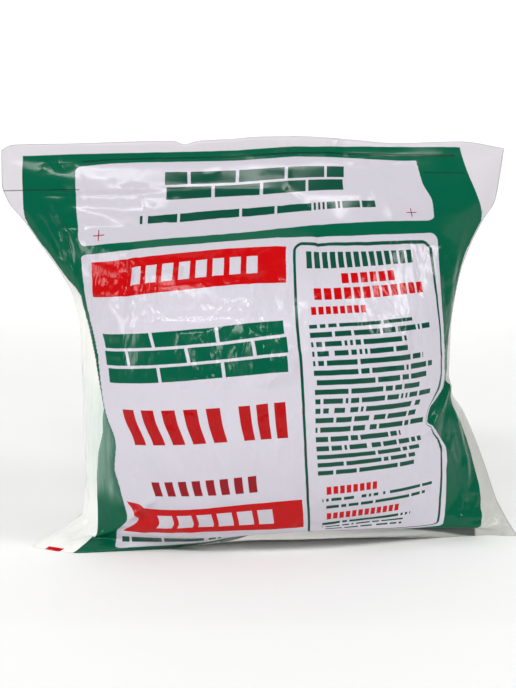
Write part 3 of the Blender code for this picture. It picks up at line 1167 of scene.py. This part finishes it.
@dataclass(frozen=True)
class PrintedFilm:
    """Milky polyethylene film, blown, reverse-printed in green and red, and handled until it crinkles.

    The ink lies behind the film, so the eye gets small sharp highlights over soft, even colours.
    """

    film: str = "#F0F0EC"
    # painted shade: the bare film is drawn greyer towards the front's right fold
    painted_shade_film: str = "#C2C2BD"
    header_film: str = "#CFCBD0"
    panel: str = "#CECAD4"
    header_panel: str = "#C4C0C9"
    green: str = "#005A40"
    dark_green: str = "#0B4A38"
    red: str = "#C00308"
    deep_red: str = "#AE050C"
    dark_red: str = "#90101C"
    # painted reflection: the pale tint of the streaks over the left pleat
    painted_reflection_tint: str = "#B4D0C4"
    # painted shadow: a dark band just below the print's foot on the right, under the belly's overhang
    foot_painted_shadow: str = "#2E3A36"
    # painted shade: the weld lines are darkened as if shaded in their pressed-in creases
    weld_painted_shade: str = "#10241E"
    weld_depth: float = 0.55  # of that shade
    roughness: float = 0.13
    rubbed: float = 0.12  # added to it where the film is rubbed dull
    sway: float = 0.020  # how far the facets are bent out of true, m
    crumples: tuple[tuple[float, float, float, float], ...] = (  # crumpled boxes, in p and q
        *((-20, 2, 262, 269), (-6, 3, 243, 249), (24, 40, 243, 248), (106, 118, 266, 274)),
        *((141, 149, 262, 274), (158, 168, 258, 264), (178, 186, 244, 252), (8, 60, 176, 192)),
        *((30, 118, 156, 184), (54, 84, 120, 156), (96, 118, 118, 150), (150, 182, 108, 152)),
        *((128, 150, 150, 170),),
    )
    weld_lines: tuple[tuple[float, float, float, float], ...] = (  # boxes in p and q
        *((4, 229, 265.3, 266.2), (209, 232, 252.8, 253.4), (-48, 2, 247.8, 248.4)),
    )

    def make(self) -> bpy.types.Material:
        """Builds the material, one colour laid over another.

        Returns:
            The material.
        """
        s = Shader("Printed milky polyethylene film")
        place = s.add("TexCoord", (), out="Object")
        ink = Print(s, place)
        foot_edge = ink.box(-31, 234, 0, 120, 5.0, both=True)
        mouth_edge = ink.box(-31, 234, 60, 269.5, both=True)
        frame_edge = s.reckon(foot_edge, ("MINIMUM", mouth_edge))
        panels = (ink.ink(ink.box(0, 206, *ends, 3.5, both=True)) for ends in ((7, 206.5), (213, 263.5)))
        header = s.add("MapRange", (ink.q, 150, 215, 0.0, 1.0), **SMOOTH)
        blank = {0: header, 6: linear(self.panel), 7: linear(self.header_panel)}
        welds = ink.either(*(ink.ink(ink.box(*line)) for line in self.weld_lines))
        layers = [
            # painted shade: bare film greyer from p 40 to p 250, so towards the front's right fold and over
            # all of the back
            (s.add("MapRange", (ink.p, 40, 250, 0.0, 1.0), **SMOOTH), self.painted_shade_film),
            (header, self.header_film),
            (ink.ink(frame_edge), self.green),
            (ink.either(*panels), s.add("Mix", blank, out=2, data_type="RGBA")),
            *self.marks(ink),
            # painted reflection: pale upright streaks over the left pleat's print
            (self.painted_reflection_streaks(s, place, ink), self.painted_reflection_tint),
            # painted shadow under the belly's overhang, just below the print's foot on the right
            (ink.patch(ink.box(64, 230, -5.5, 0.0), -1.0, 0.8, 0.88), self.foot_painted_shadow),
            # painted shade along the pressed-in weld lines
            (s.reckon(welds, ("MULTIPLY", self.weld_depth)), self.weld_painted_shade),
        ]
        colour: Any = linear(self.film)
        for mask, over in layers:
            over = over if isinstance(over, Socket) else linear(over)
            colour = s.add("Mix", {0: mask, 6: colour, 7: over}, out=2, data_type="RGBA")
        clouds = s.add("TexNoise", {"Vector": place, "Scale": 45.0, "Detail": 4.0})
        dull = s.add("MapRange", (clouds, 0.35, 0.75, self.roughness, self.roughness + self.rubbed), **SMOOTH)
        s.coat(Base_Color=colour, Roughness=dull, Normal=self.crinkle(s, place, ink, welds))
        s.coat(IOR=1.51, Specular_IOR_Level=0.2)
        return s.coat(Subsurface_Weight=0.05, Subsurface_Radius=(1.0, 1.0, 1.0), Subsurface_Scale=0.0012)

    def marks(self, ink: Print) -> list[tuple[Socket, str]]:
        """The generic bars, bricks and dashes on the panels.

        Args:
            ink: draws them.

        Returns:
            Each one's mask and colour, in the order in which they are laid.
        """
        band = ink.ink(ink.box(6.5, 114.5, 176.5, 201))
        band = ink.without(band, ink.blocks(30, 101, 183.5, 195, 8, 0.66))
        ribbon = ink.ribbon(4, 115.5, 31, 53, 4.5)
        ribbon = ink.without(ribbon, ink.blocks(21, 98, 36, 47.5, 6, 0.74))
        return [
            (band, self.red),
            (ribbon, self.red),
            (ink.courses(8, 113, 123, 154.5, 3, 35.0), self.green),
            (ink.blocks(13, 76, 89.5, 109.5, 5, 0.62), self.deep_red),
            (ink.blocks(82, 111, 89.5, 109.5, 3, 0.66), self.deep_red),
            (ink.blocks(25, 91, 61.5, 71, 8, 0.6), self.dark_red),
            (ink.dashes(4, 66, 20, 1, 7, 6.0, 2, 3.0), self.dark_green),
            (ink.line(ink.box(119, 202, 11, 203, 4.5), 1.5), self.dark_green),
            (ink.blocks(125, 190, 186.3, 198.5, 14, 0.68), self.dark_green),
            (ink.blocks(144, 177, 176.0, 182.5, 6, 0.74), self.red),
            (ink.blocks(128, 194, 166.3, 173.5, 12, 0.74), self.red),
            (ink.blocks(126, 157, 155.4, 161.3, 8, 0.7), self.red),
            (ink.dashes(125, 198, 149.6, 17, 4.956, 2.7, 22, 11.0), self.dark_green),
            (ink.blocks(129, 159, 54.4, 59.2, 8, 0.7), self.red),
            (ink.dashes(127, 196, 53.4, 2, 5.4, 2.2, 6, 17.0), self.dark_green),
            (ink.blocks(129, 174, 35.5, 40.6, 12, 0.7), self.red),
            (ink.dashes(127, 187, 34.5, 3, 5.4, 2.2, 12, 23.0), self.dark_green),
            (ink.courses(48, 152, 236.5, 257.5, 2, 26.0), self.dark_green),
            (ink.dashes(34, 172, 229.5, 1, 8, 5.2, 1, 31.0), self.dark_green),
            (ink.cross(12, 218.5, 6.5), self.dark_red),
            (ink.cross(194, 219, 6.5), self.dark_red),
            (ink.ink(ink.box(-49.3, -39.2, 3.9, 6.3)), self.red),
        ]

    def painted_reflection_streaks(self, s: Shader, place: Socket, ink: Print) -> Socket:
        """Upright pale streaks, 6 mm wide, over the left pleat's lower print: a painted reflection of the
        floor.

        Args:
            s: the material.
            place: the point on the object, in metres.
            ink: reads the print map.

        Returns:
            How strong the painted reflection is.
        """
        # the patch over the left pleat where the painted reflection lies
        lifted = ink.patch(ink.box(-45, -5, 54, 122), -12, 8)
        upright = s.add("Mapping", {"Vector": place, "Scale": (1, 1, 0.12)})
        streaks = s.add("TexNoise", {"Vector": upright, "Scale": 160.0, "Detail": 3.0})
        return s.reckon(lifted, ("MULTIPLY", s.add("MapRange", (streaks, 0.3, 0.7, 0.15, 0.5), **SMOOTH)))

    def crinkle(self, s: Shader, place: Socket, ink: Print, welds: Socket) -> Socket:
        """The film's handling, as bumps.

        Flat facets meet at sharp creases, 38 mm and 10 mm apart, over a soft ripple of 17 mm. The header is
        calmer, the weld lines are pressed in, and upright streaks run where the film is drawn over the
        powder's left shoulder. Those are under 1 mm wide on real film, and drawn 1.6 mm wide to show.

        Args:
            s: the material.
            place: the point on the object, in metres.
            ink: reads the print map.
            welds: the weld lines' mask.

        Returns:
            The bumped normal.
        """
        swirl = s.add("TexNoise", {"Vector": place, "Scale": 34.0, "Detail": 3.0}, out="Color")
        bent = s.add("VectorMath", (swirl, (self.sway,) * 3, place), operation="MULTIPLY_ADD")
        turned = (
            (bent, 0.75, 12),  # broad facets
            (bent, 0.6, -20),  # fine facets
            (place, 0.45, 8),  # ripple
            (place, 0.05, 0),  # streaks
        )
        broad_at, fine_at, ripple_at, streaks_at = (
            s.add("Mapping", {"Vector": at, "Scale": (1, 1, tall), "Rotation": (0, math.radians(turn), 0)})
            for at, tall, turn in turned
        )
        broad, fine = (
            s.add("TexVoronoi", {"Vector": at, "Scale": cells}, feature="DISTANCE_TO_EDGE")
            for at, cells in ((broad_at, 26.0), (fine_at, 95.0))
        )
        ripple = s.add("TexNoise", {"Vector": ripple_at, "Scale": 60.0, "Detail": 3.0, "Distortion": 0.4})
        streaks = s.add("TexNoise", {"Vector": streaks_at, "Scale": 620.0, "Detail": 2.0})
        calm = s.add("MapRange", (ink.q, 196, 216, 1.0, 0.08), **SMOOTH)
        clouds = s.add("TexNoise", {"Vector": place, "Scale": 24.0, "Detail": 2.0})
        patches = s.reckon(s.add("MapRange", (clouds, 0.40, 0.66, 0.08, 0.55), **SMOOTH), ("MULTIPLY", calm))
        crumpled = (ink.patch(ink.box(*crumple), -5, 4, 0.9) for crumple in self.crumples)
        patches = ink.either(patches, *crumpled)
        drawn = ink.patch(ink.box(2, 34, 172, 204), -6, 6)
        bumps = (  # where, and how high, m
            (ink.overlap(ripple, calm), 0.0020),
            (ink.overlap(broad, patches), 0.0058),
            (ink.overlap(fine, patches), 0.0007),
            (ink.overlap(streaks, drawn), 0.0003),
            (welds, -0.0004),
        )
        below: dict[str, Socket] = {}
        for height, most in bumps:
            below = {"Normal": s.add("Bump", {"Height": height, "Strength": 1.0, "Distance": most, **below})}
        return below["Normal"]


@dataclass(frozen=True)
class CementPowder:
    """Dry grey cement, ground fine and settled in the sack: quite matt, and a little cloudy.

    Its real grains are under 0.1 mm, too fine to show, so they are drawn 0.7 mm across.
    """

    dark: str = "#8B8B88"
    light: str = "#A9A8A4"

    def make(self) -> bpy.types.Material:
        """Builds the material.

        Returns:
            The material.
        """
        s = Shader("Grey cement powder")
        place = s.add("TexCoord", (), out="Object")
        clouds = s.add("TexNoise", {"Vector": place, "Scale": 60.0, "Detail": 4.0})
        share = s.add("MapRange", (clouds, 0.35, 0.65, 0.0, 1.0), **SMOOTH)
        shades = {0: share, 6: linear(self.dark), 7: linear(self.light)}
        colour = s.add("Mix", shades, out=2, data_type="RGBA")
        grains = s.add("TexNoise", {"Vector": place, "Scale": 1400.0, "Detail": 3.0})
        grain = s.add("Bump", {"Height": grains, "Strength": 0.4, "Distance": 0.0005})
        return s.coat(Base_Color=colour, Roughness=0.95, Specular_IOR_Level=0.2, Normal=grain)


@dataclass(frozen=True)
class SweepPaper:
    """Matt white studio background paper."""

    colour: str = "#F6F6F5"

    def make(self) -> bpy.types.Material:
        """Builds the material."""
        s = Shader("Matt white background paper")
        return s.coat(Base_Color=linear(self.colour), Roughness=0.9, Specular_IOR_Level=0.1)


# The pieces


@dataclass(frozen=True)
class FilmSack:
    """The printed film, welded along its foot and its mouth.

    Sizes: columns across the front sheet, twice the back's; rows from the foot to the mouth.
    """

    columns: int = 264
    rows: int = 224
    side_fade: float = 9.0  # over which the relief dies away at the side folds, mm
    foot_fade: float = 3.0  # over which it dies away above the floor, mm
    off_floor: float = 0.05  # the film's lowest points, mm
    scatters: tuple[tuple[Any, ...], ...] = (  # how many, their box, lean, length and tallest lift
        (26, (-150, 140, 208, 238), 15, 16, 0.2),
        (34, (-110, 110, 160, 205), 88, 22, 0.45),
        (26, (-95, 105, 30, 160), 70, 16, 0.28),
        (14, (-115, -85, 20, 150), 82, 20, 0.45),
        (14, (100, 130, 20, 150), 100, 20, 0.45),
    )

    def build(self) -> bpy.types.Object:
        """Returns:
            The film.
        """
        form, place = Form(), PrintPlace()
        heights = form.even_heights(self.rows, 0.0, form.corner_height)
        front = form.sheet(heights, Side.FRONT, self.columns)
        back = form.sheet(heights, Side.BACK, self.columns // 2)
        front_map, back_map = place.front(front), place.back(back)
        front_move, back_move = SlackFilm().moves(form, heights, self.columns)
        front, back = front + front_move, back + back_move
        front = self.creased(front, Side.FRONT, [*FRONT_RELIEF, *self.chance_creases(7)])
        back = self.creased(back, Side.BACK, [*BACK_RELIEF, *self.chance_creases(19)])
        self.join(front, back)
        mesh = Envelope(front, back).mesh("printed_film_sack", front_map, back_map)
        film = add_object(mesh, PrintedFilm().make())
        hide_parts("film_sack")
        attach(film, "root")
        log.info("film: %d points, %d faces", len(mesh.vertices), len(mesh.polygons))
        return film

    def chance_creases(self, seed: int) -> list[Crease]:
        """Fine handling creases: level in the header, upright over the shoulder, and few on the belly.

        Args:
            seed: picks them.

        Returns:
            The creases.
        """
        jitter = Jitter(seed)
        return [crease for scatter in self.scatters for crease in jitter.creases(*scatter)]

    def creased(self, sheet: Array, side: Side, relief: Sequence[Crease | Swell]) -> Array:
        """Lifts a sheet along its normals by all of its relief, which dies away towards its edges.

        Args:
            sheet: the grid of points, mm.
            side: the sheet that it is.
            relief: what is laid on it.

        Returns:
            The lifted points, mm.
        """
        x, z = sheet[..., 0], sheet[..., 2]
        lift = np.sum([one.lift(x, z) for one in relief], axis=0)
        lengths = PrintPlace.lengths(sheet)
        inwards = np.minimum(lengths, lengths[:, -1:] - lengths)
        fade = eased(inwards, 0, self.side_fade) * eased(z, 0.0, self.foot_fade)
        return sheet + outward(sheet, side) * (lift * fade)[..., None]

    @classmethod
    def join(cls, front: Array, back: Array) -> None:
        """Brings the two sheets' shared folds and mouth row together, and keeps them off the floor.

        Args:
            front: the front's grid of points, mm, which is changed in place.
            back: the back's grid, with half its columns.
        """
        behind = np.interp(np.arange(front.shape[1]) / 2, np.arange(back.shape[1]), back[-1, :, 1])
        front[-1, :, 1] = behind / 2 + front[-1, :, 1] / 2
        back[-1] = front[-1, ::2]
        for edge in (0, -1):
            front[:, edge] = (front[:, edge] + back[:, edge]) / 2
            back[:, edge] = front[:, edge]
        for sheet in (front, back):
            sheet[..., 2] = np.maximum(sheet[..., 2], cls.off_floor)


@dataclass(frozen=True)
class PowderFill:
    """The cement powder, settled against the film all round and clear of it."""

    columns: int = 72
    rows: int = 60
    inset: float = 11.0  # behind the film, front and back, mm
    share: float = 0.84  # of the sack's width
    low: float = 3.0
    high: float = 168.0

    def build(self) -> bpy.types.Object:
        """Makes the powder and puts it in place of its CAD node.

        Returns:
            The powder.
        """
        form = Form()
        heights = form.even_heights(self.rows, self.low, self.high)
        front = form.sheet(heights, Side.FRONT, self.columns, self.share, self.inset)
        back = form.sheet(heights, Side.BACK, self.columns // 2, self.share, self.inset)
        FilmSack.join(front, back)
        powder = add_object(Envelope(front, back).mesh("settled_cement_powder"), CementPowder().make())
        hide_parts("cement_fill")
        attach(powder, "root")
        log.info("powder: %d points", len(powder.data.vertices))
        return powder


# The studio


@dataclass(frozen=True)
class Sweep:
    """A paper sweep: floor, quarter round and wall in one sheet."""

    width: float = 8.0
    front: float = -3.0
    back: float = 2.4
    radius: float = 1.2
    height: float = 4.0

    def build(self) -> bpy.types.Object:
        """Makes the sweep.

        Returns:
            The sweep.
        """
        turn = np.linspace(0, np.pi / 2, 33)
        y = np.concatenate([[self.front], self.back - self.radius + self.radius * np.sin(turn), [self.back]])
        z = np.concatenate([[0.0], self.radius * (1 - np.cos(turn)), [self.height]])
        x = np.array([-self.width / 2, self.width / 2])
        points = np.stack([np.tile(x, len(y)), np.repeat(y, 2), np.repeat(z, 2)], axis=1)
        first = np.arange(len(y) - 1) * 2
        faces = np.stack([first, first + 1, first + 3, first + 2], axis=1)
        mesh = bpy.data.meshes.new("paper_sweep")
        mesh.from_pydata(points.tolist(), [], faces.tolist())
        mesh.shade_smooth()
        sweep = add_object(mesh, SweepPaper().make())
        log.info("sweep built")
        return sweep


@dataclass(frozen=True)
class Softbox:
    """A rectangular softbox lamp, aimed at the sack's middle."""

    name: str
    at: tuple[float, float, float]
    size: tuple[float, float]
    power: float
    aim: tuple[float, float, float] = (0.0, 0.0, 0.11)

    def build(self) -> bpy.types.Object:
        """Makes the lamp.

        Returns:
            The lamp.
        """
        lamp = bpy.data.lights.new(self.name, "AREA")
        lamp.shape = "RECTANGLE"
        lamp.size, lamp.size_y = self.size
        lamp.energy = self.power
        made = bpy.data.objects.new(self.name, lamp)
        bpy.context.scene.collection.objects.link(made)
        made.location = self.at
        made.rotation_euler = (Vector(self.aim) - Vector(self.at)).to_track_quat("-Z", "Y").to_euler()
        return made


@dataclass(frozen=True)
class Camera:
    """The photograph's view, worked out from the sack's outline."""

    elevation: float = 9.0  # degrees
    distance: float = 0.82  # m
    target: tuple[float, float, float] = (-0.0033, 0.0, 0.117)
    sensor: float = 36.0  # over the frame's longer side, mm
    lens: float = 1361 / 688 * 36  # mm, from the focal length in pixels

    def build(self) -> bpy.types.Object:
        """Makes the scene's camera.

        Returns:
            The camera.
        """
        data = bpy.data.cameras.new("photo_view")
        data.lens, data.sensor_width = self.lens, self.sensor
        data.clip_start, data.clip_end = 0.02, 30.0
        camera = bpy.data.objects.new("photo_view", data)
        bpy.context.scene.collection.objects.link(camera)
        tilt = math.radians(self.elevation)
        back = Vector((0, -math.cos(tilt), math.sin(tilt)))
        camera.location = Vector(self.target) + back * self.distance
        camera.rotation_euler = (-back).to_track_quat("-Z", "Y").to_euler()
        bpy.context.scene.camera = camera
        return camera


class Studio:
    """The sweep, the lamps, the room's even light and the camera."""

    lamps = (
        Softbox("key_strip", (-0.36, -0.98, 1.05), (1.0, 0.15), 8.8),
        Softbox("side_left", (-1.2, -0.5, 0.5), (0.26, 0.5), 4.6),
        Softbox("fill_right", (1.03, -0.56, 0.8), (0.26, 0.6), 6.6),
        Softbox("front", (0.2, -1.48, 0.54), (0.24, 0.2), 2.2),
        Softbox("top", (0.0, 0.3, 1.9), (2.2, 1.4), 6.6),
        Softbox("backdrop", (0.0, 1.1, 1.9), (3.0, 0.6), 40.0, (0.0, 2.4, 0.9)),
    )
    room_light = 0.15

    def build(self) -> None:
        """Makes all of it."""
        Sweep().build()
        for lamp in self.lamps:
            lamp.build()
        world = bpy.data.worlds.new("even_white_room")
        world.use_nodes = True
        ground = world.node_tree.nodes["Background"]
        ground.inputs["Color"].default_value = (1, 1, 1, 1)
        ground.inputs["Strength"].default_value = self.room_light
        bpy.context.scene.world = world
        bpy.context.scene.view_settings.view_transform = "Standard"
        Camera().build()
        log.info("studio built")


def main() -> None:
    """Builds the sack and the studio."""
    logging.basicConfig(level=logging.INFO, format="%(name)s: %(message)s")
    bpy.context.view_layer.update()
    FilmSack().build()
    PowderFill().build()
    Studio().build()


if __name__ == "__main__":
    main()
